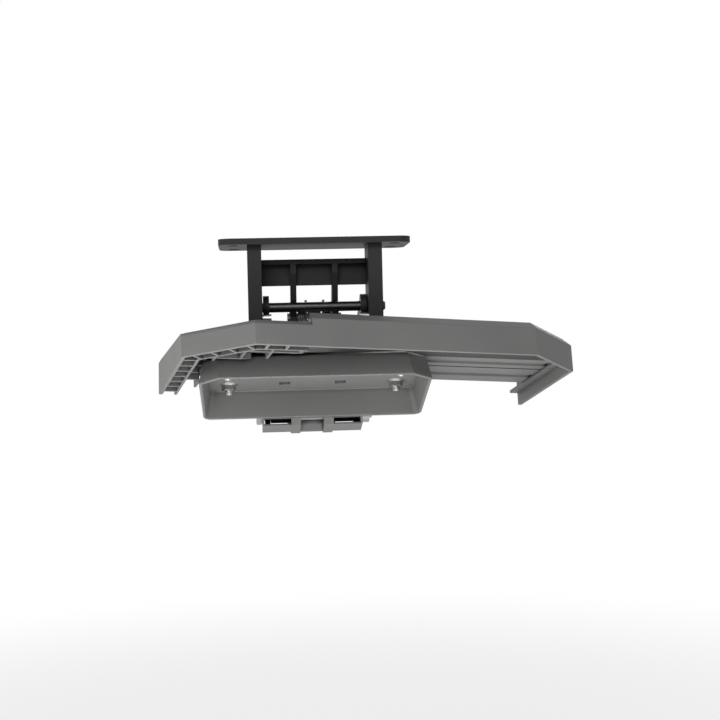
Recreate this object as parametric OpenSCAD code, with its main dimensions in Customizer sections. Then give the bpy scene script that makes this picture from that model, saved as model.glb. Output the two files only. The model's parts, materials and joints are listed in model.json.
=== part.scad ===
// Rear retractable step, stowed: a skewed hoop-shaped step under two swing arms and a control link.
// X runs to the right, Y forward under the vehicle, Z up. The origin is the centre of the top mounting face.

/* [Linkage] */
// Depth of the main pivot below the mounting face
pivot_drop = 67; // [62:1:75]
// Forward reach of the main arms, pivot to pivot, when stowed
arm_reach = 155; // [150:1:160]
// Drop of the main arms, pivot to pivot, when stowed
arm_drop = 115; // [111:1:119]
// Forward offset of the link's upper pivot from the main pivot
link_up_y = 22; // [20:0.5:26]
// Height offset of the link's upper pivot from the main pivot
link_up_z = -10; // [-12:0.5:-8]
// Forward offset of the link's lower pivot from the arms' lower pivot
link_low_y = 17.8; // [15:0.1:20]
// Height offset of the link's lower pivot from the arms' lower pivot
link_low_z = -9; // [-11:0.1:-7]
// Distance between the inner faces of the two main arms
arm_gap = 92; // [86:1:96]
// Thickness of each main arm
arm_t = 6; // [4:0.5:8]
// Width of the arms' bars
arm_w = 20; // [16:1:22]
// Radius of the arms' pivot eyes
arm_eye_r = 12; // [11:0.5:13]
// Width of the control link's bar
link_w = 15; // [12:1:16]
// Thickness of the control link's bar
link_t = 13; // [8:1:16]
// Length of the control link's lower barrel
barrel_l = 24.6; // [20:0.2:25]

/* [Hanger] */
// Width of the mounting plate
plate_w = 190; // [180:1:210]
// Front to back size of the mounting plate
plate_d = 84; // [76:1:96]
// Thickness of the mounting plate
plate_t = 6; // [5:0.5:8]
// Side to side spacing of the mounting holes
bolt_x = 160; // [154:1:170]
// Front to back spacing of the mounting holes
bolt_y = 50; // [40:1:60]
// Radius of the mounting holes
bolt_hole_r = 5.5; // [4:0.25:6.5]
// Thickness of the hanger's sheet
hanger_t = 5; // [3:0.5:6]
// Front to back depth of each hanger
hanger_d = 46; // [44:1:52]
// Width of the hanger's rear flange, folded edge included
flange_w = 14; // [12:0.5:16]

/* [Step] */
// Forward lean of the stowed step
step_pitch = 15.7; // [14:0.1:17]
// Distance of the step's datum behind the main pivot
step_back = 30; // [28:1:33]
// Distance of the step's datum below the main pivot
step_drop = 53; // [52:0.5:56]
// Turn of the hoop on its tray, seen from above
hoop_skew = 12.5; // [11:0.25:14]
// Sideways place of the hoop's rear right corner
hoop_x = 222; // [218:1:226]
// Forward place of the hoop's rear right corner
hoop_y = 3; // [1:0.5:5]
// Length of the hoop's straight rear wall
rear_l = 289; // [285:1:293]
// Sideways size of the corner chamfers
cham_x = 62; // [56:1:66]
// Front to back size of the corner chamfers
cham_y = 55; // [50:1:60]
// Front to back size of the whole hoop
hoop_d = 200; // [196:1:206]
// Thickness of the hoop's walls
wall_t = 4; // [3:0.25:5]
// Height of the raised right wall below its bevel
wall_high = 28; // [26:0.5:30]
// Height of the bevel on the raised wall
bevel_high = 8; // [6:0.5:10]
// Height of the low left wall below its bevel
wall_low = 21; // [20:0.5:22]
// Height of the left wall's front end
wall_end = 34; // [30:0.5:38]
// Height of the bevel on the low wall
bevel_low = 4; // [3:0.25:4.5]
// Distance of the notch from the right corner
notch_p = 233; // [228:1:238]
// Pitch of the ribs under the left deck
rib_pitch = 20; // [18:0.5:24]
// Thickness of the ribs
rib_t = 2.6; // [2:0.1:3.5]
// Spacing of the double wall under the left side
rib_gap = 12.5; // [11:0.5:14]

/* [Tread] */
// Height of the tread boards' underside over the hoop's lower edge
board_z = 16.5; // [16:0.25:17]
// Thickness of the tread boards
board_t = 8.5; // [8:0.25:9]
// Front to back size of the rear board
board_rear = 53; // [48:1:55]
// Front to back size of the middle board
board_mid = 33; // [28:1:34]
// Front to back size of the front board
board_front = 53; // [50:1:56]
// Open slot between the rear and middle boards
board_slot = 18; // [14:1:20]
// Joint between the middle and front boards
board_joint = 3; // [2:0.5:5]
// Pitch of the grip ridges
ridge_pitch = 6.5; // [5.5:0.25:9]

/* [Tray] */
// Width of the tray
tray_w = 238; // [230:1:246]
// Front to back size of the tray
tray_d = 140; // [136:1:143]
// Distance of the tray's rear wall from the step's datum
tray_y = 27; // [24:1:30]
// Height of the tray's rear wall
tray_rear_h = 26.5; // [22:0.5:30]
// Height of the tray's front wall
tray_front_h = 35.5; // [33:0.5:37]
// Thickness of the tray's sheet
tray_t = 3.2; // [2:0.1:4]
// Size of the square holes
square_w = 11.5; // [11:0.25:13]
// Spacing of the square holes
square_pitch = 60; // [56:1:62]
// Forward place of the front row of square holes
row_front = 137; // [134:1:139]
// Forward place of the rear row of square holes
row_rear = 75; // [72:1:78]

/* [Fasteners] */
// Radius of the pivot bolts' shanks
pivot_r = 5; // [4:0.25:5.5]
// Wall of the pivot bushes
bush_t = 2; // [1.5:0.25:2.5]
// Radius of the carriage bolts
carriage_r = 4; // [3:0.25:4.5]
// Play of the link's lower eye on its pin
open_play = 1; // [0.9:0.05:1.3]
// Height of the rubber buffers
buffer_h = 10.7; // [9:0.1:12]

/* [Hidden] */
$fn = 48;
eps = 0.05;
fit = 0.05;
press = 0.02;
face_gap = 0.3;
side_gap = 0.8;

main_y = 0;
main_z = -pivot_drop;
up_y = main_y + link_up_y;
up_z = main_z + link_up_z;
low_y = main_y + arm_reach;
low_z = main_z - arm_drop;
tip_y = low_y + link_low_y;
tip_z = low_z + link_low_z;
step_y0 = main_y - step_back;
step_z0 = main_z - step_drop;

// Row coordinates of a point given in the leaning plane of the step
function lean_y(v, w) = step_y0 + v * cos(step_pitch) + w * sin(step_pitch);
function lean_z(v, w) = step_z0 - v * sin(step_pitch) + w * cos(step_pitch);
// Plane coordinates of a point given in row coordinates
function plane_v(y, z) = (y - step_y0) * cos(step_pitch) - (z - step_z0) * sin(step_pitch);
function plane_w(y, z) = (y - step_y0) * sin(step_pitch) + (z - step_z0) * cos(step_pitch);

low_v = plane_v(low_y, low_z);
low_w = plane_w(low_y, low_z);
tip_v = plane_v(tip_y, tip_z);
tip_w = plane_w(tip_y, tip_z);
deck_top = board_z + board_t;
tray_front = tray_y + tray_d;
arm_x = arm_gap / 2;
arm_out = arm_x + arm_t;
hanger_x = arm_out + side_gap;
hanger_out = hanger_x + hanger_t;
flange_out = hanger_x + flange_w;

arm_knee_v = tray_front + 11;
arm_knee_w = deck_top + 19;
link_knee_v = tray_front + 23;
link_knee_w = deck_top + 17;
arm_knee = [lean_y(arm_knee_v, arm_knee_w), lean_z(arm_knee_v, arm_knee_w)];
link_knee = [lean_y(link_knee_v, link_knee_w), lean_z(link_knee_v, link_knee_w)];

// Place in the hoop's own axes of a point given in the step's
function in_hoop_axes(p) = let (dx = p[0] - hoop_x, dy = p[1] - hoop_y)
    [dx * cos(hoop_skew) + dy * sin(hoop_skew), -dx * sin(hoop_skew) + dy * cos(hoop_skew)];

module in_step() {
    translate([0, step_y0, step_z0]) rotate([-step_pitch, 0, 0]) children();
}

module in_hoop() {
    in_step() translate([hoop_x, hoop_y, 0]) rotate([0, 0, hoop_skew]) children();
}

// Solid of a side-view profile, drawn as [y, z], between two sideways places
module side_plate(x0, x1) {
    translate([x0, 0, 0]) rotate([90, 0, 90]) linear_extrude(x1 - x0) children();
}

module x_rod(x0, x1, r, y = 0, z = 0) {
    translate([x0, y, z]) rotate([0, 90, 0]) cylinder(h = x1 - x0, r = r);
}

module x_tube(x0, x1, r, bore, y = 0, z = 0) {
    difference() {
        x_rod(x0, x1, r, y, z);
        x_rod(x0 - eps, x1 + eps, bore, y, z);
    }
}

module bar_2d(a, b, w) {
    d = b - a;
    translate(a) rotate(atan2(d[1], d[0])) translate([0, -w / 2]) square([norm(d), w]);
}

module mirrored() {
    children();
    mirror([1, 0, 0]) children();
}

// Hexagon prism along X
module x_hex(x0, x1, across, y, z) {
    translate([x0, y, z]) rotate([0, 90, 0]) cylinder(h = x1 - x0, r = across / sqrt(3), $fn = 6);
}

/* Hanger */

module mount_plate() {
    corner = 12;
    color("dimgray") difference() {
        translate([0, 0, -plate_t]) linear_extrude(plate_t) {
            square([plate_w - 2 * corner, plate_d], center = true);
            square([plate_w, plate_d - 2 * corner], center = true);
            for (sx = [-1, 1], sy = [-1, 1])
                translate([sx * (plate_w / 2 - corner), sy * (plate_d / 2 - corner)]) circle(corner);
        }
        for (sx = [-1, 1], sy = [-1, 1])
            translate([sx * bolt_x / 2, sy * bolt_y / 2, -plate_t - eps])
                cylinder(h = plate_t + 2 * eps, r = bolt_hole_r);
    }
}

hanger_rear = main_y - 31.5;
hanger_front = hanger_rear + hanger_d;
hanger_low_w = deck_top + face_gap + buffer_h;
stop_r = 4;
stop_dist = 22;
swing = 88;
arm_lean = atan2(arm_knee[1] - main_z, arm_knee[0] - main_y);
stop_turn = arm_lean - swing - asin((arm_w / 2 + stop_r + face_gap) / stop_dist);
stop_y = main_y + stop_dist * cos(stop_turn);
stop_z = main_z + stop_dist * sin(stop_turn);
buffer_r = 7;
buffer_x = hanger_out + 5.2;
buffer_v = plane_v(main_y, main_z) - 6;

// Height of the hanger's lower edge at a given front to back place
function hanger_low(y) = step_z0 + (hanger_low_w - (y - step_y0) * sin(step_pitch)) / cos(step_pitch);

module hanger() {
    foot_t = 3;
    foot_d = 28;
    foot_reach = hanger_t + 11.5;
    difference() {
        union() {
            side_plate(hanger_x, hanger_out) polygon([
                [hanger_rear, -plate_t], [hanger_front, -plate_t],
                [hanger_front, hanger_low(hanger_front)], [hanger_rear, hanger_low(hanger_rear)]]);
            side_plate(hanger_x, flange_out) polygon([
                [hanger_rear, -plate_t], [hanger_rear + hanger_t, -plate_t],
                [hanger_rear + hanger_t, hanger_low(hanger_rear + hanger_t)],
                [hanger_rear, hanger_low(hanger_rear)]]);
            in_step() translate([hanger_x, buffer_v - foot_d / 2, hanger_low_w])
                cube([foot_reach, foot_d, foot_t]);
        }
        x_rod(hanger_x - eps, flange_out + eps, pivot_r + fit, main_y, main_z);
        x_rod(hanger_x - eps, hanger_out + eps, stop_r + press, stop_y, stop_z);
        in_step() translate([buffer_x, buffer_v, hanger_low_w - eps])
            cylinder(h = foot_t + 2 * eps, r = 2.6);
    }
}

module hanger_right() {
    color("dimgray") hanger();
}

module hanger_left() {
    color("dimgray") mirror([1, 0, 0]) hanger();
}

lug_x = 18;
lug_t = 6;
lug_r = 12;
beam_h = 26;
beam_t = 5;
beam_lip = 13;
beam_rise = 22;
beam_z = main_z + beam_rise;
beam_front = hanger_front - 5;
beam_rear = beam_front - beam_t;

module cross_beam() {
    color("dimgray") difference() {
        union() {
            translate([-hanger_x, beam_rear, beam_z]) cube([2 * hanger_x, beam_t, beam_h]);
            translate([-hanger_x, beam_front - beam_lip, beam_z + beam_h - beam_t])
                cube([2 * hanger_x, beam_lip, beam_t]);
            mirrored() side_plate(lug_x, lug_x + lug_t) {
                translate([up_y, up_z]) circle(lug_r);
                polygon([[up_y - lug_r, up_z], [up_y + lug_r, up_z], [beam_front, beam_z + lug_r],
                    [beam_front, beam_z + beam_h], [beam_front - beam_lip, beam_z + beam_h],
                    [beam_front - beam_lip, beam_z + lug_r]]);
            }
        }
        x_rod(-lug_x - lug_t - eps, lug_x + lug_t + eps, pivot_r + press, up_y, up_z);
    }
}

washer_t = 1.5;
washer_r = 10;
head_h = 6.5;
hex_w = 16;
nut_h = 9;
nut_flange = 2;
bolt_over = 3;

module main_pivot_bolt() {
    end_x = hanger_out + washer_t + nut_h + bolt_over;
    color("silver") {
        x_rod(-hanger_out - washer_t, end_x, pivot_r, main_y, main_z);
        x_hex(-hanger_out - washer_t - head_h, -hanger_out - washer_t, hex_w, main_y, main_z);
    }
}

module main_pivot_nut() {
    seat = hanger_out + washer_t;
    color("silver") difference() {
        union() {
            x_rod(seat, seat + nut_flange, washer_r, main_y, main_z);
            x_hex(seat + nut_flange - eps, seat + nut_h, hex_w, main_y, main_z);
        }
        x_rod(seat - eps, seat + nut_h + eps, pivot_r + press, main_y, main_z);
    }
}

module main_pivot_washers() {
    color("silver") mirrored()
        x_tube(hanger_out, hanger_out + washer_t, washer_r, pivot_r + fit, main_y, main_z);
}

clip_t = 1.2;
pin_over = 3.5;

module clip_pair(x, y, z) {
    mirrored() x_tube(x, x + clip_t, pivot_r + 2.5, pivot_r + press, y, z);
}

module link_upper_pin() {
    reach = lug_x + lug_t + pin_over;
    color("silver") x_rod(-reach, reach, pivot_r, up_y, up_z);
}

module link_upper_clips() {
    color("gray") clip_pair(lug_x + lug_t, up_y, up_z);
}

module deploy_stop_pins() {
    color("silver") mirrored() x_rod(arm_x - 2, hanger_out + 1.5, stop_r, stop_y, stop_z);
}

module rubber_buffers() {
    color("black") mirrored() in_step() translate([buffer_x, buffer_v, deck_top + face_gap])
        difference() {
            union() {
                cylinder(h = 2, r1 = buffer_r - 1.5, r2 = buffer_r);
                translate([0, 0, 2]) cylinder(h = buffer_h - 2, r = buffer_r);
            }
            translate([0, 0, 3]) cylinder(h = buffer_h, r = 2.5);
        }
}

module buffer_screws() {
    color("silver") mirrored() in_step() translate([buffer_x, buffer_v, deck_top + face_gap + 4]) {
        cylinder(h = buffer_h + 1.5, r = 2.5 - press);
        translate([0, 0, buffer_h - 1]) cylinder(h = 2.5, r = 4.4);
    }
}

coil_turns = 3;
coil_r = 10.5;
wire_r = 1.3;
coil_x = link_t / 2 + wire_r + 1;
coil_step = (lug_x - wire_r - 0.7 - coil_x) / coil_turns;

// Points of one torsion spring: a rear leg, the coil and a forward leg
function coil_point(i, n) =
    let (a = 200 + 360 * coil_turns * i / n) [coil_x + coil_step * coil_turns * i / n,
        up_y + coil_r * cos(a), up_z + coil_r * sin(a)];

module torsion_spring() {
    n = 20 * coil_turns;
    sides = 8;
    leg = 22;
    first = 200;
    last = first + 360 * coil_turns;
    tail_a = coil_point(0, n) + leg * [0, sin(first), -cos(first)];
    tail_b = coil_point(n, n) + leg * [0, -sin(last), cos(last)];
    path = concat([tail_a], [for (i = [0:n]) coil_point(i, n)], [tail_b]);
    turn = concat([first], [for (i = [0:n]) first + 360 * coil_turns * i / n], [last]);
    rings = len(path);
    points = [for (i = [0:rings - 1], k = [0:sides - 1]) let (s = 360 * k / sides)
        path[i] + wire_r * [sin(s), cos(s) * cos(turn[i]), cos(s) * sin(turn[i])]];
    skin = [for (i = [0:rings - 2], k = [0:sides - 1]) let (m = (k + 1) % sides)
        [i * sides + k, (i + 1) * sides + k, (i + 1) * sides + m, i * sides + m]];
    ends = [[for (k = [0:sides - 1]) k], [for (k = [sides - 1:-1:0]) (rings - 1) * sides + k]];
    polyhedron(points, concat(skin, ends), convexity = 6);
}

module torsion_springs() {
    color("gray") mirrored() torsion_spring();
}

/* Swing arms and control link */

tie_v = tray_y + 73;
tie_w = deck_top + 9;
tie_r = 4;
tie = [lean_y(tie_v, tie_w), lean_z(tie_v, tie_w)];
bush_r = pivot_r + bush_t;

module swing_arm() {
    difference() {
        side_plate(arm_x, arm_out) {
            translate([main_y, main_z]) circle(arm_eye_r);
            translate([low_y, low_z]) circle(arm_eye_r);
            translate(arm_knee) circle(arm_w / 2);
            translate(tie) circle(tie_r + 2.8);
            bar_2d(tie, tie + [3, 10], 2 * tie_r + 5.6);
            bar_2d([main_y, main_z], arm_knee, arm_w);
            bar_2d(arm_knee, [low_y, low_z], arm_w - 1);
        }
        x_rod(arm_x - eps, arm_out + eps, bush_r + press, main_y, main_z);
        x_rod(arm_x - eps, arm_out + eps, bush_r + press, low_y, low_z);
        x_rod(arm_x - eps, arm_out + eps, tie_r + press, tie[0], tie[1]);
    }
}

module swing_arm_right() {
    color("dimgray") swing_arm();
}

module swing_arm_left() {
    color("dimgray") mirror([1, 0, 0]) swing_arm();
}

module arm_tie_bar() {
    color("dimgray") x_rod(-arm_out, arm_out, tie_r, tie[0], tie[1]);
}

module arm_bushes() {
    color("goldenrod") mirrored() for (p = [[main_y, main_z], [low_y, low_z]])
        x_tube(arm_x, arm_out, bush_r, pivot_r + fit, p[0], p[1]);
}

barrel_r = 10;

module control_link() {
    color("dimgray") difference() {
        union() {
            side_plate(-link_t / 2, link_t / 2) {
                translate([up_y, up_z]) circle(11);
                translate(link_knee) circle(link_w / 2);
                bar_2d([up_y, up_z], link_knee, link_w);
                bar_2d(link_knee, [tip_y, tip_z], link_w);
            }
            x_rod(-barrel_l / 2, barrel_l / 2, barrel_r, tip_y, tip_z);
        }
        x_rod(-link_t, link_t, bush_r + press, up_y, up_z);
        x_rod(-barrel_l, barrel_l, pivot_r + open_play, tip_y, tip_z);
    }
}

module link_bush() {
    color("goldenrod") x_tube(-link_t / 2, link_t / 2, bush_r, pivot_r + fit, up_y, up_z);
}

/* Step casting */

// Inward mitre of a path's corner for a unit offset, to the left of its direction
function unit(v) = v / norm(v);
function left_of(v) = [-v[1], v[0]];
function mitre(path, i) = let (
    a = left_of(unit(path[max(i, 1)] - path[max(i, 1) - 1])),
    b = left_of(unit(path[min(i, len(path) - 2) + 1] - path[min(i, len(path) - 2)])),
    m = unit(a + b)) m / (m * a);
function inset(path, d) = [for (i = [0:len(path) - 1]) path[i] + d * mitre(path, i)];
function reversed(list) = [for (i = [len(list) - 1:-1:0]) list[i]];

right_path = [[-notch_p, 0], [0, 0], [cham_x, cham_y], [cham_x, hoop_d]];
left_path = [[-rear_l - cham_x, hoop_d], [-rear_l - cham_x, cham_y], [-rear_l, 0], [-notch_p, 0]];

far = 500;

// Side of a path's run that lies inwards of it, with a bevelled rim; deep moves its face inwards
module inner_side(path, i, rim, bevel, deep, over) {
    a = path[i];
    way = unit(path[i + 1] - a);
    starts = i == 0 ? over : far;
    ends = i == len(path) - 2 ? over : far;
    top = rim - bevel - (deep > 0 ? 1 : 0);
    slope = bevel == 0 ? 0 : bevel / (rim - top);
    translate([a[0] - starts * way[0], a[1] - starts * way[1], 0])
        rotate([0, 0, atan2(way[1], way[0])]) rotate([90, 0, 90])
            linear_extrude(starts + norm(path[i + 1] - a) + ends)
                polygon(concat([[deep, -over]], bevel == 0 ? [] : [[deep, top]],
                    [[deep + slope * (rim + over - top), rim + over], [far, rim + over], [far, -over]]));
}

// Space inside a path of three runs, with each run's own bevel
module inside(path, rim, bevels, deep, over) {
    intersection() {
        inner_side(path, 0, rim, bevels[0], deep, over);
        inner_side(path, 1, rim, bevels[1], deep, over);
        inner_side(path, 2, rim, bevels[2], deep, over);
    }
}

module wall(path, rim, bevels) {
    difference() {
        inside(path, rim, bevels, 0, 0);
        inside(path, rim, bevels, wall_t, 1);
    }
}

ledge_w = 9;
ledge_t = 3;

module right_wall() {
    wall(right_path, wall_high + bevel_high, [bevel_high, bevel_high, bevel_high]);
    translate([0, 0, board_z - ledge_t]) linear_extrude(ledge_t)
        polygon(concat(inset(right_path, wall_t - 0.5), reversed(inset(right_path, wall_t + ledge_w))));
}

module left_wall() {
    rim = wall_low + bevel_low;
    wall(left_path, rim, [0, bevel_low, bevel_low]);
    // The side wall rises towards its front end
    translate([-rear_l - cham_x, 0, 0]) rotate([90, 0, 90]) linear_extrude(wall_t)
        polygon([[cham_y + 8, rim - 1], [hoop_d, rim - 1], [hoop_d, wall_end], [hoop_d - 14, wall_end],
            [cham_y + 8, rim]]);
}

bolt_places = [for (sx = [-1, 1], v = [row_rear, row_front]) [sx * 1.5 * square_pitch, v]];
boss_r = 13;
tongue_r = boss_r + 1.5;
tongue_l = 40;

module left_outline(d) {
    polygon(concat(inset(left_path, d), [[-notch_p, hoop_d - 6], [-notch_p - 4, hoop_d]]));
}

module left_deck() {
    deck_t = 3.5;
    inner = wall_t + rib_gap;
    rib_start = 10;
    translate([0, 0, deck_top - deck_t]) linear_extrude(deck_t) {
        left_outline(wall_t - 0.5);
        // Tongues that carry the bolts' bosses
        for (p = bolt_places) if (p[0] < 0) let (c = in_hoop_axes(p)) {
            translate(c) circle(tongue_r);
            bar_2d(c - [0, tongue_l], c, 2 * tongue_r);
        }
    }
    // Second wall and the ribs that tie it to the outer wall
    linear_extrude(deck_top - 1)
        polygon(concat(inset(left_path, inner), reversed(inset(left_path, inner + rib_t))));
    for (k = [0:6]) let (q = cham_y + rib_start + k * rib_pitch)
        if (q < hoop_d - 2)
            translate([-rear_l - cham_x + wall_t - 0.5, q, 0]) cube([rib_gap + 1, rib_t, deck_top - 1]);
    slope = atan2(cham_y, cham_x);
    for (k = [0:3])
        translate([-rear_l, 0, 0]) rotate(180 - slope)
            translate([rib_start + k * rib_pitch, -wall_t - rib_gap - 0.5, 0])
                cube([rib_t, rib_gap + 1, deck_top - 1]);
    for (k = [0:1])
        translate([-rear_l + 12 + k * rib_pitch, wall_t - 0.5, 0])
            cube([rib_t, rib_gap + 1, deck_top - 1]);
    // Shallow pockets further inboard
    pocket_w = 9;
    intersection() {
        translate([0, 0, pocket_w]) linear_extrude(deck_top - pocket_w - 1) left_outline(inner);
        union() {
            for (k = [1:3]) translate([-notch_p - rib_t - k * 26, 0, 0]) cube([rib_t, hoop_d, deck_top]);
            for (k = [1:6]) translate([-rear_l - cham_x, k * 28, 0])
                cube([rear_l + cham_x - notch_p, rib_t, deck_top]);
        }
    }
    // Cross wall beside the tread boards, with its ledge
    translate([-notch_p - wall_t, wall_t - 0.5, board_z - ledge_t])
        cube([wall_t, hoop_d - wall_t - 5, deck_top - board_z + ledge_t]);
    translate([-notch_p - 1, wall_t - 0.5, board_z - ledge_t])
        cube([ledge_w, boards_end - wall_t, ledge_t]);
}

boards_end = wall_t + face_gap + board_rear + board_slot + board_mid + board_joint + board_front;

module tray_outline(d) {
    half = tray_w / 2 + d;
    rear = tray_y - d;
    front = tray_front + d;
    r = 10;
    cut_x = 20;
    cut_y = 17;
    polygon(concat(
        [[-half + cut_x, rear], [half - cut_x, rear], [half, rear + cut_y]],
        [for (a = [0:15:90]) [half - r + r * cos(a), front - r + r * sin(a)]],
        [for (a = [90:15:180]) [-half + r + r * cos(a), front - r + r * sin(a)]],
        [[-half, rear + cut_y]]));
}

module step_frame() {
    tray_gap = 1.5;
    seat_gap = 0.02;
    color("dimgray") difference() {
        union() {
            difference() {
                in_hoop() {
                    right_wall();
                    left_wall();
                    left_deck();
                }
                in_step() translate([0, 0, -40]) linear_extrude(40 + board_z + seat_gap) tray_outline(tray_gap);
            }
            for (p = bolt_places) if (p[0] < 0)
                in_step() translate([p[0], p[1], board_z]) cylinder(h = board_t - 1, r = boss_r);
        }
        for (p = bolt_places) if (p[0] < 0)
            in_step() translate([p[0], p[1], board_z - eps])
                cylinder(h = board_t + 2 * eps, r = carriage_r + 0.3);
        for (s = screw_places) in_hoop() translate([s[0], s[1], 0])
            cylinder(h = board_z + eps, r = 2.1);
    }
}

/* Tread boards */

screw_in = 5.2;
head_r = 4;
sink_r = 4.5;
mid_start = wall_t + face_gap + board_rear + board_slot;
front_start = mid_start + board_mid + board_joint;
board_left = -notch_p + press;
board_right = cham_x - wall_t - face_gap;
cham_line = inset(right_path, wall_t + face_gap + screw_in);
cham_mid = (cham_line[1] + cham_line[2]) / 2;
screw_places = [
    [board_left + screw_in, wall_t + face_gap + board_rear / 2], cham_mid,
    [board_right - screw_in, mid_start + board_mid / 2],
    [board_right - screw_in, front_start + board_front / 2]];

// Board section as [across, height]: a flat underside with a channel, and a ridged top
function board_section(w) = let (
    ridge = 1.6,
    low = deck_top - ridge,
    count = floor((w - 6) / ridge_pitch),
    start = (w - (count - 1) * ridge_pitch) / 2,
    mid = w / 2)
    concat(
        [[0, low], [0, board_z], [mid - 6, board_z], [mid - 5, board_z + 2], [mid + 5, board_z + 2],
            [mid + 6, board_z], [w, board_z], [w, low]],
        [for (k = [count - 1:-1:0], p = [[2, 0], [1.1, ridge], [-1.1, ridge], [-2, 0]])
            [start + k * ridge_pitch + p[0], low + p[1]]]);

module board(q, w) {
    difference() {
        intersection() {
            in_hoop() translate([board_left, q, 0]) rotate([90, 0, 90])
                linear_extrude(board_right - board_left) polygon(board_section(w));
            in_hoop() linear_extrude(deck_top + 5) polygon(concat(
                inset(right_path, wall_t + face_gap), [[-notch_p, hoop_d]]));
        }
        for (p = bolt_places) if (p[0] > 0)
            in_step() translate([p[0], p[1], 0]) cylinder(h = deck_top + 1, r = carriage_r + 0.3);
        for (s = screw_places) in_hoop() translate([s[0], s[1], 0]) {
            cylinder(h = deck_top + 1, r = 2.6);
            translate([0, 0, deck_top - 4]) cylinder(h = 6, r = sink_r);
        }
    }
}

module tread_board_rear() {
    color("gray") board(wall_t + face_gap, board_rear);
}

module tread_board_middle() {
    color("gray") board(mid_start, board_mid);
}

module tread_board_front() {
    color("gray") board(front_start, board_front);
}

module tread_screws() {
    color("silver") for (s = screw_places) in_hoop() translate([s[0], s[1], board_z - ledge_t + 0.2]) {
        cylinder(h = board_t, r = 2.1 - press);
        translate([0, 0, deck_top - board_z + ledge_t - 4.2]) difference() {
            cylinder(h = 2.6, r = head_r);
            translate([0, 0, 1]) cylinder(h = 2, r = 2.2, $fn = 6);
        }
    }
}

/* Tray and lower bracket */

module carrier_tray() {
    blank_h = 45;
    rim_slope = atan2(tray_front_h - tray_rear_h, tray_d);
    color("dimgray") in_step() difference() {
        translate([0, 0, -blank_h]) linear_extrude(blank_h + board_z) tray_outline(0);
        translate([0, 0, -blank_h - eps]) linear_extrude(blank_h + eps + board_z - tray_t)
            tray_outline(-tray_t);
        translate([0, tray_y, board_z - tray_rear_h]) rotate([-rim_slope, 0, 0])
            translate([-tray_w, -tray_d, -tray_w]) cube([2 * tray_w, 3 * tray_d, tray_w]);
        for (k = [-1.5:1:1.5], v = [row_rear, row_front])
            translate([k * square_pitch - square_w / 2, v - square_w / 2, board_z - tray_t - 1])
                cube([square_w, square_w, tray_t + 2]);
    }
}

module carriage_bolts() {
    color("silver") for (p = bolt_places) in_step() translate([p[0], p[1], 0]) {
        translate([0, 0, board_z - tray_t - 13]) cylinder(h = board_t + tray_t + 13, r = carriage_r);
        translate([0, 0, deck_top]) intersection() {
            translate([0, 0, -6.5]) sphere(11);
            cylinder(h = 6, r = 9);
        }
    }
}

module flange_nuts() {
    seat = board_z - tray_t;
    color("silver") for (p = bolt_places) in_step() translate([p[0], p[1], seat - 8]) difference() {
        union() {
            cylinder(h = 6.5, r = 13 / sqrt(3), $fn = 6);
            translate([0, 0, 6]) cylinder(h = 2, r = 9.2);
        }
        translate([0, 0, -eps]) cylinder(h = 9, r = carriage_r + press);
    }
}

ear_in = barrel_l / 2 + 0.4;
ear_out = 23.3;
cheek_in = arm_out + side_gap;
cheek_out = cheek_in + 2.2;

module pivot_bracket() {
    plate_lo = board_z - tray_front_h;
    lip_w = tip_w - 11.5;
    color("dimgray") in_step() difference() {
        union() {
            translate([-cheek_out, tray_front, plate_lo])
                cube([2 * cheek_out, 3, board_z - plate_lo - 2]);
            mirrored() {
                side_plate(ear_in, ear_out) {
                    translate([tip_v, tip_w]) circle(11.5);
                    polygon([[tray_front, board_z - 2], [tray_front + 10, board_z - 2],
                        [tip_v + 8, tip_w + 8], [tip_v, tip_w - 11.5], [tray_front + 8, tip_w - 11.5],
                        [tray_front, plate_lo]]);
                }
                side_plate(cheek_in, cheek_out) polygon([[tray_front, board_z - 2],
                    [tray_front + 12, board_z - 2], [low_v + 13, low_w + 4], [low_v + 13, lip_w],
                    [tray_front + 8, lip_w], [tray_front, plate_lo]]);
                translate([ear_out - 0.5, tray_front + 8, lip_w])
                    cube([cheek_out - ear_out + 0.5, low_v + 13 - tray_front - 8, 1.8]);
            }
        }
        x_rod(-cheek_out - 1, cheek_out + 1, pivot_r + fit, low_v, low_w);
        x_rod(-ear_out - 1, ear_out + 1, pivot_r + press, tip_v, tip_w);
    }
}

module step_pivot_bolt() {
    color("silver") {
        x_rod(-cheek_out, cheek_out + nut_h + bolt_over, pivot_r, low_y, low_z);
        x_hex(-cheek_out - head_h, -cheek_out, hex_w, low_y, low_z);
    }
}

module step_pivot_nut() {
    color("silver") difference() {
        union() {
            x_rod(cheek_out, cheek_out + nut_flange, washer_r, low_y, low_z);
            x_hex(cheek_out + nut_flange - eps, cheek_out + nut_h, hex_w, low_y, low_z);
        }
        x_rod(cheek_out - eps, cheek_out + nut_h + eps, pivot_r + press, low_y, low_z);
    }
}

module pivot_spacers() {
    color("dimgray") mirrored()
        x_tube(ear_out, arm_x - face_gap, 8, pivot_r + fit, low_y, low_z);
}

module link_lower_pin() {
    reach = ear_out + pin_over;
    color("silver") x_rod(-reach, reach, pivot_r, tip_y, tip_z);
}

module link_lower_clips() {
    color("gray") clip_pair(ear_out, tip_y, tip_z);
}

mount_plate();
hanger_left();
hanger_right();
cross_beam();
main_pivot_bolt();
main_pivot_nut();
main_pivot_washers();
link_upper_pin();
link_upper_clips();
deploy_stop_pins();
rubber_buffers();
buffer_screws();
torsion_springs();
swing_arm_left();
swing_arm_right();
arm_tie_bar();
arm_bushes();
control_link();
link_bush();
step_frame();
tread_board_rear();
tread_board_middle();
tread_board_front();
tread_screws();
carrier_tray();
carriage_bolts();
flange_nuts();
pivot_bracket();
step_pivot_bolt();
step_pivot_nut();
pivot_spacers();
link_lower_pin();
link_lower_clips();
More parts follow.
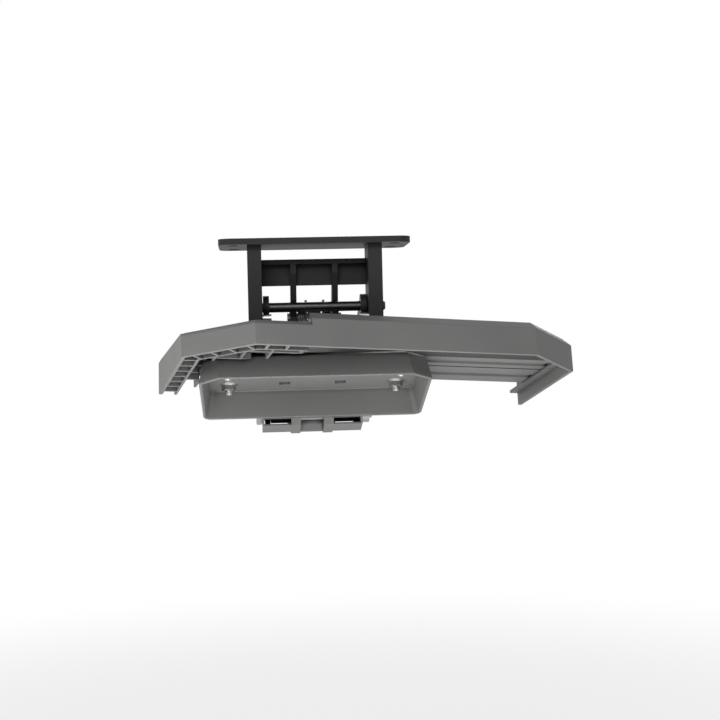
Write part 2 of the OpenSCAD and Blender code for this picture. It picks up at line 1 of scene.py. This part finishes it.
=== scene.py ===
# Looks of the rear retractable step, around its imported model. Lengths are in metres.
import bmesh
import bpy
import json
import math
from mathutils import Matrix, Vector

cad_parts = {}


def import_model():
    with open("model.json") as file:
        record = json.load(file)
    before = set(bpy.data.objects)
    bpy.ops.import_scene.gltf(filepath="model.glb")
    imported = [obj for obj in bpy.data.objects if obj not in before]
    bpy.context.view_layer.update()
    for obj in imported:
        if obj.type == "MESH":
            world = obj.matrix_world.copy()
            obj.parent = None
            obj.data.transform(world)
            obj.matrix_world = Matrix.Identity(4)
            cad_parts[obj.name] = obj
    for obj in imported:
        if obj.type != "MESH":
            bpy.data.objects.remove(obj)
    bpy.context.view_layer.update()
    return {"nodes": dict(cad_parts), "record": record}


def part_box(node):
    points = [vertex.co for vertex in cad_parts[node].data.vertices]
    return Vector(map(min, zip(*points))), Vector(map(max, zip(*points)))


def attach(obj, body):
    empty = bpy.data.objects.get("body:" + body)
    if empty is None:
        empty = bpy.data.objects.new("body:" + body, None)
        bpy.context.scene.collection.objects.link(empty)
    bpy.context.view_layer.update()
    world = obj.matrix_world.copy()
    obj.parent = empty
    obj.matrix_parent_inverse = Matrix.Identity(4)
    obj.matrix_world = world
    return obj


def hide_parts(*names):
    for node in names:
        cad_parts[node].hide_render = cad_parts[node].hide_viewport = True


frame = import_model()
nodes = frame["nodes"]

# The photograph's view
YAW = math.radians(4.0)
ROLL = 0.024
CAMERA_AT = Vector((-0.0613, -1.5136, -0.1208))
LENS_MM = 75.0
SENSOR_MM = 36.0
IMAGE_PX = 720
AXIS_PX_Y = 359

# Tones, as linear colours
WHITE = (1.0, 1.0, 1.0, 1.0)
COAT = (0.170, 0.169, 0.166, 1.0)
COAT_DEEP = (0.140, 0.139, 0.137, 1.0)
COAT_BLACK = (0.024, 0.024, 0.025, 1.0)
COAT_BLACK_DEEP = (0.017, 0.017, 0.018, 1.0)
ZINC = (0.50, 0.50, 0.48, 1.0)
OXIDE = (0.055, 0.055, 0.058, 1.0)
STEEL = (0.22, 0.22, 0.225, 1.0)
BRONZE = (0.42, 0.27, 0.12, 1.0)
RUBBER = (0.022, 0.022, 0.023, 1.0)
RUBBER_DUSTY = (0.04, 0.04, 0.041, 1.0)
FLOOR_TONE = (0.82, 0.82, 0.82, 1.0)
MOTTLE_SHARE = 0.72

# Painted shade in narrow gaps: its tone as a share of the deep one, and how near the opposite wall has to
# be
GAP_SHADE_SHARE = 0.12
GAP_SHADE_REACH = 0.014

# Part of a noise's or an occlusion's values that is spread over a whole range
BAND_LOW = 0.3
BAND_HIGH = 0.7

# Scales of the noises
PATCH_SCALE = 9.0
MOTTLE_SCALE = 160.0
DUST_SCALE = 220.0
PEEL_SCALE = 900.0
COAT_GRAIN_SCALE = 2600.0

# Roughness, least and most, and gloss
COAT_ROUGH = (0.44, 0.56)
RUBBER_ROUGH = (0.66, 0.84)
METAL_SMOOTHER = 0.06
METAL_ROUGHER = 0.08
FLOOR_ROUGH = 0.8
COAT_GLOSS = 0.3
BLACK_GLOSS = 0.12

# Radius at which the edges catch the light, and how fine it and the painted shade of the gaps are sampled
EDGE_SHEET = 0.0009
EDGE_CAST = 0.0012
EDGE_BOARD = 0.0006
EDGE_METAL = 0.0003
EDGE_SAMPLES = 4
GAP_SHADE_SAMPLES = 8

# Place and lean of the stowed step, as in the part's source
STEP_LEAN = math.radians(15.7)
STEP_AT = Vector((0.0, -0.030, -0.120))
TO_ROW = Matrix.Translation(STEP_AT) @ Matrix.Rotation(-STEP_LEAN, 4, "X")
TO_STEP = TO_ROW.inverted()

# M8 and M10 hardware
HEX_8 = 0.013
HEX_10 = 0.016
PITCH_8 = 0.00125
PITCH_10 = 0.0015
RADIUS_8 = 0.004
RADIUS_10 = 0.005
HEAD_10 = 0.0065
THREADED_10 = 0.016
THREAD_STEPS = 8
THREAD_DEPTH = 0.55

# Hexagons: corners of a ring, circle of the chamfer as a share of the flats, slope of the chamfer
HEX_COUNT = 72
CHAMFER_SHARE = 0.98
CHAMFER_SLOPE = math.tan(math.radians(30))

# Flange nuts, from the seat up
SEAT_CHAMFER = 0.0003
RIM_TOP = 0.0009
RIM_ROUND = 0.0004
CONE_LOW = 0.00124
CONE_HIGH = 0.0025
BORE_CHAMFER = 0.0007

# Carriage bolts: rise and edge of the head, and shares of the shank and of the dome
HEAD_RISE = 0.0045
HEAD_EDGE = 0.0002
BOLT_COUNT = 36
THREADED_SHARE = 0.8
PLAIN_SHARE = 0.83
DOME_FROM = 0.06
DOME_SPAN = 0.92
DOME_STEPS = 8

# Heads of hexagon bolts: face under the head, start of the hexagon, and the dish on top
WASHER_FACE = 0.0004
HEX_START = 0.0006
DISH_RIM = 0.72
DISH_FLOOR = 0.66
DISH_DEPTH = 0.0003

# Pressed tray: sheet, draft, cut corners, round corners, bent top edge, walls and square holes
SHEET = 0.0032
DRAFT = 0.0055
CUT_X = 0.020
CUT_Y = 0.017
CORNER = 0.010
BEND = 0.0045
REAR_H = 0.0265
FRONT_H = 0.0355
SQUARE = 0.0115
CORNER_STEPS = 12
BEND_STEPS = 6

# Corners nearer than this are one, and edges sharper than this stay sharp
WELD = 1e-6
SHARP = math.radians(32)
SORT_PLACES = 4

# Lamps: place, point aimed at, width and height, and power in watts
LAMPS = {
    "key_lamp": ((-0.50, -1.85, 0.85), (0.0, 0.0, -0.12), (1.2, 0.4), 24.0),
    "low_lamp": ((-0.20, -0.28, -0.47), (-0.20, -0.28, 0.0), (0.9, 0.3), 5.2),
    "side_lamp": ((-1.6, -0.6, -0.1), (0.0, 0.0, -0.15), (0.6, 0.6), 3.0),
    "right_lamp": ((1.9, -0.1, 0.1), (0.0, 0.0, -0.15), (0.8, 0.8), 2.5),
    "back_lamp": ((0.2, 2.0, 0.75), (0.0, 0.1, -0.1), (1.6, 0.9), 16.0),
    "top_lamp": ((0.3, 0.9, 1.6), (0.0, 0.1, -0.1), (1.6, 1.6), 0.8),
}
WORLD_STRENGTH = 0.1

# Floor: height, half width, reach of the fade from its middle, and its least share of white
FLOOR_Z = -0.50
FLOOR_HALF = 30.0
FADE_NEAR = 0.5
FADE_FAR = 1.1
FLOOR_WHITE = 0.7


def camera():
    data = bpy.data.cameras.new("camera")
    data.lens = LENS_MM
    data.sensor_width = SENSOR_MM
    data.shift_y = (AXIS_PX_Y - IMAGE_PX / 2) / IMAGE_PX
    obj = bpy.data.objects.new("camera", data)
    bpy.context.collection.objects.link(obj)
    level = Vector((math.cos(YAW), -math.sin(YAW), 0.0))
    ahead = Vector((math.sin(YAW), math.cos(YAW), 0.0))
    up = Vector((0.0, 0.0, 1.0))
    right = level * math.cos(ROLL) - up * math.sin(ROLL)
    top = level * math.sin(ROLL) + up * math.cos(ROLL)
    turn = Matrix((right, top, -ahead)).transposed()
    obj.matrix_world = Matrix.Translation(CAMERA_AT) @ turn.to_4x4()
    bpy.context.scene.camera = obj


def area_lamp(name, at, towards, size, power):
    data = bpy.data.lights.new(name, "AREA")
    data.shape = "RECTANGLE"
    data.size, data.size_y = size
    data.energy = power
    obj = bpy.data.objects.new(name, data)
    bpy.context.collection.objects.link(obj)
    obj.location = at
    obj.rotation_mode = "QUATERNION"
    obj.rotation_quaternion = (Vector(towards) - Vector(at)).to_track_quat("-Z", "Y")
    obj.visible_camera = False


def lamps():
    for name, setting in LAMPS.items():
        area_lamp(name, *setting)


class Graph:
    """The nodes of one material or world, with short calls to add and join them."""

    def __init__(self, tree):
        self.tree = tree
        tree.nodes.clear()

    def add(self, kind, **values):
        node = self.tree.nodes.new(kind)
        for key, value in values.items():
            setattr(node, key, value)
        return node

    def join(self, source, target):
        self.tree.links.new(source, target)

    def noise(self, scale, detail, coordinates):
        node = self.add("ShaderNodeTexNoise")
        node.inputs["Scale"].default_value = scale
        node.inputs["Detail"].default_value = detail
        self.join(coordinates, node.inputs["Vector"])
        return node.outputs["Fac"]

    def between(self, factor, low, high):
        node = self.add("ShaderNodeMix", data_type="RGBA")
        node.inputs["A"].default_value = low
        node.inputs["B"].default_value = high
        self.join(factor, node.inputs["Factor"])
        return node.outputs["Result"]

    def spread(self, factor, low, high):
        node = self.add("ShaderNodeMapRange")
        node.inputs["From Min"].default_value = BAND_LOW
        node.inputs["From Max"].default_value = BAND_HIGH
        node.inputs["To Min"].default_value = low
        node.inputs["To Max"].default_value = high
        self.join(factor, node.inputs["Value"])
        return node.outputs["Result"]

    def tones(self, factor, low, high):
        """A tone that wanders from low to high with the factor."""
        return self.between(self.spread(factor, 0.0, 1.0), low, high)

    def painted_gap_shade(self, tone, deep):
        """The tone, with painted shade that darkens it in narrow gaps and corners."""
        gap_shade = self.add("ShaderNodeAmbientOcclusion", samples=GAP_SHADE_SAMPLES)
        gap_shade.inputs["Distance"].default_value = GAP_SHADE_REACH
        node = self.add("ShaderNodeMix", data_type="RGBA")
        node.inputs["A"].default_value = [GAP_SHADE_SHARE * c for c in deep[:3]] + [1.0]
        self.join(tone, node.inputs["B"])
        self.join(self.spread(gap_shade.outputs["AO"], 0.0, 1.0), node.inputs["Factor"])
        return node.outputs["Result"]

    def round_edges(self, radius):
        """The normal of a surface whose edges look rounded."""
        node = self.add("ShaderNodeBevel", samples=EDGE_SAMPLES)
        node.inputs["Radius"].default_value = radius
        return node.outputs["Normal"]

    def bump(self, height, strength, distance, normal=None):
        node = self.add("ShaderNodeBump")
        node.inputs["Strength"].default_value = strength
        node.inputs["Distance"].default_value = distance
        self.join(height, node.inputs["Height"])
        if normal:
            self.join(normal, node.inputs["Normal"])
        return node.outputs["Normal"]


def surface(name, metallic=0.0):
    material = bpy.data.materials.new(name)
    material.use_nodes = True
    graph = Graph(material.node_tree)
    shader = graph.add("ShaderNodeBsdfPrincipled")
    output = graph.add("ShaderNodeOutputMaterial")
    graph.join(shader.outputs["BSDF"], output.inputs["Surface"])
    shader.inputs["Metallic"].default_value = metallic
    place = graph.add("ShaderNodeTexCoord").outputs["Object"]
    return material, graph, shader, place


def powder_coat(name, deep, light, edge=EDGE_SHEET, gloss=COAT_GLOSS):
    """Satin powder coat, with a fine orange-peel grain, soft patches of tone and painted shade in narrow
    gaps and corners.
    """
    material, graph, shader, place = surface(name)
    tone = graph.tones(graph.noise(PATCH_SCALE, 3.0, place), deep, light)
    # painted shade: the coat's colour is darkened in narrow gaps and corners, where shade falls
    graph.join(graph.painted_gap_shade(tone, deep), shader.inputs["Base Color"])
    grain = graph.noise(COAT_GRAIN_SCALE, 2.0, place)
    graph.join(graph.spread(grain, *COAT_ROUGH), shader.inputs["Roughness"])
    peel = graph.noise(PEEL_SCALE, 2.0, place)
    peeled = graph.bump(peel, strength=0.10, distance=0.0002, normal=graph.round_edges(edge))
    grained = graph.bump(grain, strength=0.10, distance=0.0001, normal=peeled)
    graph.join(grained, shader.inputs["Normal"])
    shader.inputs["Specular IOR Level"].default_value = gloss
    return material


def metal(name, colour, rough, grain_scale):
    """Plated or plain metal, with a mottled tone and a fine tooled grain."""
    material, graph, shader, place = surface(name, metallic=1.0)
    dark = [MOTTLE_SHARE * c for c in colour[:3]] + [1.0]
    tone = graph.tones(graph.noise(MOTTLE_SCALE, 4.0, place), dark, colour)
    graph.join(tone, shader.inputs["Base Color"])
    grain = graph.noise(grain_scale, 3.0, place)
    roughness = graph.spread(grain, rough - METAL_SMOOTHER, rough + METAL_ROUGHER)
    graph.join(roughness, shader.inputs["Roughness"])
    tooled = graph.bump(grain, strength=0.12, distance=0.0001, normal=graph.round_edges(EDGE_METAL))
    graph.join(tooled, shader.inputs["Normal"])
    return material


def rubber():
    material, graph, shader, place = surface("buffer_rubber")
    dust = graph.noise(DUST_SCALE, 4.0, place)
    graph.join(graph.tones(dust, RUBBER, RUBBER_DUSTY), shader.inputs["Base Color"])
    graph.join(graph.spread(dust, *RUBBER_ROUGH), shader.inputs["Roughness"])
    graph.join(graph.bump(dust, strength=0.2, distance=0.0002), shader.inputs["Normal"])
    return material


def finishes():
    """One material for each slot, and the two darker ones of the hanger."""
    return {
        "coated_steel": powder_coat("coated_steel", COAT_DEEP, COAT),
        "coated_cast": powder_coat("coated_cast", COAT_DEEP, COAT, edge=EDGE_CAST),
        "coated_board": powder_coat("coated_board", COAT_DEEP, COAT, edge=EDGE_BOARD),
        "zinc_steel": metal("zinc_steel", ZINC, rough=0.34, grain_scale=1400.0),
        "spring_steel": metal("spring_steel", STEEL, rough=0.38, grain_scale=1800.0),
        "bush_bronze": metal("bush_bronze", BRONZE, rough=0.42, grain_scale=1600.0),
        "buffer_rubber": rubber(),
        "hanger_coat": powder_coat("hanger_coat", COAT_BLACK_DEEP, COAT_BLACK, gloss=BLACK_GLOSS),
        "black_oxide": metal("black_oxide", OXIDE, rough=0.36, grain_scale=1400.0),
    }


def dress(finish):
    """Gives every CAD node the material of its slot, and the coated parts of the hanger and arms the much
    darker hanger_coat material.
    """
    slots = {s["node"]: s["material_slot"] for s in frame["record"]["subparts"]}
    bodies = frame["record"]["behaviour"]["bodies"]
    black = [n for n in bodies["hanger"] + bodies["swing_arms"] if slots[n].startswith("coated")]
    for name, obj in nodes.items():
        chosen = finish["hanger_coat" if name in black else slots[name]]
        for slot in obj.material_slots:
            slot.material = chosen


def see_white(graph, plain, white):
    """The plain shader, with the white one for camera, glossy and transmission rays."""
    path = graph.add("ShaderNodeLightPath")
    first = graph.add("ShaderNodeMath", operation="MAXIMUM")
    graph.join(path.outputs["Is Camera Ray"], first.inputs[0])
    graph.join(path.outputs["Is Glossy Ray"], first.inputs[1])
    second = graph.add("ShaderNodeMath", operation="MAXIMUM")
    graph.join(first.outputs[0], second.inputs[0])
    graph.join(path.outputs["Is Transmission Ray"], second.inputs[1])
    mix = graph.add("ShaderNodeMixShader")
    graph.join(second.outputs[0], mix.inputs["Fac"])
    graph.join(plain, mix.inputs[1])
    graph.join(white, mix.inputs[2])
    return mix.outputs["Shader"]


def background(graph, strength):
    node = graph.add("ShaderNodeBackground")
    node.inputs["Color"].default_value = WHITE
    node.inputs["Strength"].default_value = strength
    return node.outputs["Background"]


def world():
    """A faint white light from all sides, which the camera sees as full white."""
    data = bpy.data.worlds.new("studio")
    data.use_nodes = True
    bpy.context.scene.world = data
    graph = Graph(data.node_tree)
    plain = background(graph, WORLD_STRENGTH)
    white = background(graph, 1.0)
    output = graph.add("ShaderNodeOutputWorld")
    graph.join(see_white(graph, plain, white), output.inputs["Surface"])


def floor_material():
    """Pale and lit near the object, fading to the white of the background for the camera."""
    material, graph, shader, place = surface("floor")
    shader.inputs["Base Color"].default_value = FLOOR_TONE
    shader.inputs["Roughness"].default_value = FLOOR_ROUGH
    reach = graph.add("ShaderNodeVectorMath", operation="LENGTH")
    graph.join(place, reach.inputs[0])
    fade = graph.add("ShaderNodeMapRange", interpolation_type="SMOOTHSTEP")
    fade.inputs["From Min"].default_value = FADE_NEAR
    fade.inputs["From Max"].default_value = FADE_FAR
    fade.inputs["To Min"].default_value = FLOOR_WHITE
    graph.join(reach.outputs["Value"], fade.inputs["Value"])
    white = graph.add("ShaderNodeEmission")
    faded = graph.add("ShaderNodeMixShader")
    graph.join(fade.outputs["Result"], faded.inputs["Fac"])
    graph.join(shader.outputs["BSDF"], faded.inputs[1])
    graph.join(white.outputs[0], faded.inputs[2])
    seen = see_white(graph, shader.outputs["BSDF"], faded.outputs[0])
    output = next(n for n in graph.tree.nodes if n.bl_idname == "ShaderNodeOutputMaterial")
    graph.join(seen, output.inputs["Surface"])
    return material


def floor():
    corners = [(x * FLOOR_HALF, y * FLOOR_HALF, FLOOR_Z) for x, y in ((-1, -1), (1, -1), (1, 1), (-1, 1))]
    mesh = bpy.data.meshes.new("floor")
    mesh.from_pydata(corners, [], [(0, 1, 2, 3)])
    mesh.materials.append(floor_material())
    obj = bpy.data.objects.new("floor", mesh)
    bpy.context.collection.objects.link(obj)


def solids(name):
    """The separate solids of a CAD node, each as the list of its corners."""
    work = bmesh.new()
    work.from_mesh(nodes[name].data)
    bmesh.ops.remove_doubles(work, verts=work.verts, dist=WELD)
    left = set(work.verts)
    found = []
    while left:
        group = []
        edge = [left.pop()]
        while edge:
            vert = edge.pop()
            group.append(vert.co.copy())
            for link in vert.link_edges:
                other = link.other_vert(vert)
                if other in left:
                    left.discard(other)
                    edge.append(other)
        found.append(group)
    work.free()
    return found


def box_of(points):
    low = Vector([min(p[i] for p in points) for i in range(3)])
    high = Vector([max(p[i] for p in points) for i in range(3)])
    return low, high


def loft(rings, closed=False):
    """Corners and faces of a skin over rings of equal count, with its ends capped or joined."""
    count = len(rings[0])
    corners = [c for ring in rings for c in ring]
    faces = []
    spans = len(rings) if closed else len(rings) - 1
    for i in range(spans):
        a = i * count
        b = (i + 1) % len(rings) * count
        faces += [(a + k, a + (k + 1) % count, b + (k + 1) % count, b + k) for k in range(count)]
    if not closed:
        faces.append(tuple(reversed(range(count))))
        faces.append(tuple((len(rings) - 1) * count + k for k in range(count)))
    return corners, faces


def round_ring(radius, z, count):
    turns = [2 * math.pi * k / count for k in range(count)]
    return [(radius * math.cos(t), radius * math.sin(t), z) for t in turns]


def hex_radius(across, turn):
    sixth = math.pi / 3
    return across / 2 / math.cos(turn % sixth - sixth / 2)


def hex_ring(across, height_at):
    """A hexagonal ring whose height follows its radius, for a chamfered corner."""
    ring = []
    for k in range(HEX_COUNT):
        turn = 2 * math.pi * k / HEX_COUNT
        r = hex_radius(across, turn)
        ring.append((r * math.cos(turn), r * math.sin(turn), height_at(r)))
    return ring


def flange_nut(across, height, bore, flange_r):
    """A nut with a conical flange at its seat, z = 0, and 30 degree chamfers at its free end."""
    flat = across / 2 * CHAMFER_SHARE
    rings = [
        round_ring(bore, 0.0, HEX_COUNT),
        round_ring(flange_r - SEAT_CHAMFER, 0.0, HEX_COUNT),
        round_ring(flange_r, SEAT_CHAMFER, HEX_COUNT),
        round_ring(flange_r, RIM_TOP, HEX_COUNT),
        round_ring(flange_r - RIM_ROUND, CONE_LOW, HEX_COUNT),
        hex_ring(across, lambda r: CONE_HIGH),
        hex_ring(across, lambda r: height - (r - flat) * CHAMFER_SLOPE),
        round_ring(flat, height, HEX_COUNT),
        round_ring(bore + BORE_CHAMFER, height, HEX_COUNT),
        round_ring(bore, height - BORE_CHAMFER, HEX_COUNT),
    ]
    return loft(rings, closed=True)


def thread_rings(radius, pitch, length, count):
    """Rings that follow a helical thread up from z = 0, with a chamfered first turn."""
    depth = THREAD_DEPTH * pitch
    total = round(length / pitch * THREAD_STEPS)
    rings = []
    for i in range(total + 1):
        z = length * i / total
        ring = []
        for k in range(count):
            turn = 2 * math.pi * k / count
            phase = (z / pitch - k / count) % 1.0
            r = min(radius - depth * abs(2 * phase - 1), radius - pitch + z)
            ring.append((r * math.cos(turn), r * math.sin(turn), z))
        rings.append(ring)
    return rings


def carriage_bolt(length, radius, head_r):
    """A domed bolt along z, from its threaded end at 0 to the seat of its head at length."""
    rings = thread_rings(radius, PITCH_8, length * THREADED_SHARE, BOLT_COUNT)
    rings.append(round_ring(radius, length * PLAIN_SHARE, BOLT_COUNT))
    rings.append(round_ring(radius, length, BOLT_COUNT))
    rings.append(round_ring(head_r - HEAD_EDGE, length, BOLT_COUNT))
    ball = (head_r * head_r + HEAD_RISE * HEAD_RISE) / (2 * HEAD_RISE)
    for i in range(DOME_STEPS + 1):
        rise = HEAD_RISE * (DOME_FROM + DOME_SPAN * i / DOME_STEPS)
        off = ball - HEAD_RISE + rise
        rings.append(round_ring(math.sqrt(ball * ball - off * off), length + rise, BOLT_COUNT))
    return loft(rings)


def hex_bolt(length, radius, across, head_h, threaded):
    """A hexagon bolt along z, from its threaded end at 0 to the top of its head at length."""
    seat = length - head_h
    flat = across / 2 * CHAMFER_SHARE
    rings = thread_rings(radius, PITCH_10, threaded, HEX_COUNT)
    rings += [
        round_ring(radius, threaded + PITCH_10 / 2, HEX_COUNT),
        round_ring(radius, seat, HEX_COUNT),
        round_ring(flat, seat, HEX_COUNT),
        round_ring(flat, seat + WASHER_FACE, HEX_COUNT),
        hex_ring(across, lambda r: seat + HEX_START),
        hex_ring(across, lambda r: length - (r - flat) * CHAMFER_SLOPE),
        round_ring(flat, length, HEX_COUNT),
        round_ring(flat * DISH_RIM, length, HEX_COUNT),
        round_ring(flat * DISH_FLOOR, length - DISH_DEPTH, HEX_COUNT),
    ]
    return loft(rings)


def joined(name, shapes):
    """One mesh from shapes, each a pair of (corners, faces) and its place as a matrix."""
    corners = []
    faces = []
    for (own, own_faces), place in shapes:
        start = len(corners)
        corners += [place @ Vector(c) for c in own]
        faces += [tuple(start + i for i in f) for f in own_faces]
    mesh = bpy.data.meshes.new(name)
    mesh.from_pydata(corners, [], faces)
    work = bmesh.new()
    work.from_mesh(mesh)
    bmesh.ops.recalc_face_normals(work, faces=work.faces)
    work.to_mesh(mesh)
    work.free()
    return mesh


def less(mesh, cuts):
    """The mesh with the cutting shapes taken out of it."""
    whole = bpy.data.objects.new("whole", mesh)
    cutter = bpy.data.objects.new("cutter", joined("cutter", cuts))
    bpy.context.collection.objects.link(whole)
    bpy.context.collection.objects.link(cutter)
    modifier = whole.modifiers.new("holes", "BOOLEAN")
    modifier.operation = "DIFFERENCE"
    modifier.solver = "EXACT"
    modifier.object = cutter
    result = bpy.data.meshes.new_from_object(whole.evaluated_get(bpy.context.evaluated_depsgraph_get()))
    bpy.data.objects.remove(whole)
    bpy.data.objects.remove(cutter)
    return result


def piece(name, shapes, material, body, stands_for, cuts=None):
    """One object of the scene on its body, made of shapes less its cuts, in place of a CAD node."""
    mesh = joined(name, shapes)
    if cuts:
        mesh = less(mesh, cuts)
    mesh.polygons.foreach_set("use_smooth", [True] * len(mesh.polygons))
    mesh.set_sharp_from_angle(angle=SHARP)
    mesh.materials.clear()
    mesh.materials.append(material)
    obj = bpy.data.objects.new(name, mesh)
    bpy.context.collection.objects.link(obj)
    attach(obj, body)
    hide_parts(stands_for)


def step_solids(name):
    """Boxes of a node's solids in the step's own leaning axes, in a fixed order."""
    boxes = [box_of([TO_STEP @ p for p in group]) for group in solids(name)]
    return sorted(boxes, key=lambda b: (round(b[0].x, SORT_PLACES), round(b[0].y, SORT_PLACES)))


def tray_nuts(finish):
    """Flange nuts in the places of their CAD solids, seat upwards."""
    turned = Matrix.Rotation(math.pi, 4, "X")
    nuts = []
    for low, high in step_solids("flange_nuts"):
        middle = (low + high) / 2
        seat = Vector((middle.x, middle.y, high.z))
        shape = flange_nut(HEX_8, high.z - low.z, RADIUS_8, (high.x - low.x) / 2)
        nuts.append((shape, TO_ROW @ Matrix.Translation(seat) @ turned))
    piece("flange_nuts_detailed", nuts, finish["zinc_steel"], "step", "flange_nuts")


def tray_bolts(finish):
    """Carriage bolts in the places of their CAD solids, head upwards."""
    bolts = []
    for low, high in step_solids("carriage_bolts"):
        middle = (low + high) / 2
        foot = Vector((middle.x, middle.y, low.z))
        shape = carriage_bolt(high.z - low.z - HEAD_RISE, RADIUS_8, (high.x - low.x) / 2)
        bolts.append((shape, TO_ROW @ Matrix.Translation(foot)))
    piece("carriage_bolts_detailed", bolts, finish["zinc_steel"], "step", "carriage_bolts")


def pivot_bolt(bolt, body, material):
    """A hexagon bolt with its head at the left."""
    low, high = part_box(bolt)
    middle = (Vector(low) + Vector(high)) / 2
    foot = Vector((high[0], middle.y, middle.z))
    along = Matrix.Rotation(-math.pi / 2, 4, "Y")
    shape = hex_bolt(high[0] - low[0], RADIUS_10, HEX_10, HEAD_10, THREADED_10)
    place = Matrix.Translation(foot) @ along
    piece(bolt + "_detailed", [(shape, place)], material, body, bolt)
    return middle


def pivot_nut(nut, middle, body, material):
    """A flange nut at the bolt's right end, on the bolt's axis."""
    low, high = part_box(nut)
    seat = Vector((low[0], middle.y, middle.z))
    along = Matrix.Rotation(math.pi / 2, 4, "Y")
    shape = flange_nut(HEX_10, high[0] - low[0], RADIUS_10, (high[1] - low[1]) / 2)
    place = Matrix.Translation(seat) @ along
    piece(nut + "_detailed", [(shape, place)], material, body, nut)


def pivot_hardware(pivot, body, material):
    middle = pivot_bolt(pivot + "_bolt", body, material)
    pivot_nut(pivot + "_nut", middle, body, material)


def tray_ring(low, high, inset, lean, share):
    """A ring of the tray's outline, part of the way down its walls. The front wall has no lean."""
    half = (high.x - low.x) / 2 - inset - lean
    rear = low.y + inset + lean
    front = high.y - inset
    radius = CORNER - inset
    side = half - radius
    ahead = front - radius
    turns = [math.pi / 2 * k / CORNER_STEPS for k in range(CORNER_STEPS + 1)]
    points = [(-half + CUT_X, rear), (half - CUT_X, rear), (half, rear + CUT_Y)]
    points += [(side + radius * math.cos(a), ahead + radius * math.sin(a)) for a in turns]
    points += [(-side - radius * math.sin(a), ahead + radius * math.cos(a)) for a in turns]
    points.append((-half, rear + CUT_Y))
    ring = []
    for x, y in points:
        wall = REAR_H + (FRONT_H - REAR_H) * (y - low.y) / (high.y - low.y)
        ring.append((x, y, high.z - share * wall))
    return ring


def pressed_tray(low, high):
    """The tray's skin: bent top edge, walls with draft, a rounded rim and the inner side."""
    turns = [math.pi / 2 * k / BEND_STEPS for k in range(BEND_STEPS + 1)]
    profile = []
    for a in turns:
        depth = BEND * (1 - math.cos(a)) / REAR_H
        profile.append((BEND * (1 - math.sin(a)), DRAFT * (1 - depth), depth))
    half = SHEET / 2
    for a in turns:
        share = 1 - half * (1 - math.sin(2 * a)) / FRONT_H
        profile.append((half * (1 - math.cos(2 * a)), DRAFT * (1 - share), share))
    inner = BEND - SHEET
    for a in reversed(turns):
        depth = (SHEET + inner * (1 - math.cos(a))) / REAR_H
        profile.append((SHEET + inner * (1 - math.sin(a)), DRAFT * (1 - depth), depth))
    return loft([tray_ring(low, high, *step) for step in profile])


def block(low, high):
    """Corners and faces of a box, used as a cutting shape."""
    outline = ((low[0], low[1]), (high[0], low[1]), (high[0], high[1]), (low[0], high[1]))
    corners = [(x, y, z) for z in (low[2], high[2]) for x, y in outline]
    sides = [(k, (k + 1) % 4, (k + 1) % 4 + 4, k + 4) for k in range(4)]
    return corners, [(3, 2, 1, 0), (4, 5, 6, 7)] + sides


def carrier(finish):
    """The pressed tray with its rows of square holes, of which the inner ones stay empty."""
    low, high = box_of([TO_STEP @ v.co for v in nodes["carrier_tray"].data.vertices])
    bolts = [(b[0] + b[1]) / 2 for b in step_solids("carriage_bolts")]
    rows = sorted({round(m.y, SORT_PLACES) for m in bolts})
    outer = max(m.x for m in bolts)
    half = SQUARE / 2
    foot = high.z - 2 * SHEET
    top = high.z + SHEET
    cuts = []
    for y in rows:
        for x in (-outer, -outer / 3, outer / 3, outer):
            cuts.append((block((x - half, y - half, foot), (x + half, y + half, top)), TO_ROW))
    tray = [(pressed_tray(low, high), TO_ROW)]
    piece("pressed_tray", tray, finish["coated_steel"], "step", "carrier_tray", cuts)


camera()
world()
lamps()
floor()
finish = finishes()
dress(finish)
carrier(finish)
tray_nuts(finish)
tray_bolts(finish)
pivot_hardware("main_pivot", "hanger", finish["black_oxide"])
pivot_hardware("step_pivot", "step", finish["zinc_steel"])

bpy.context.scene.view_settings.view_transform = "Standard"
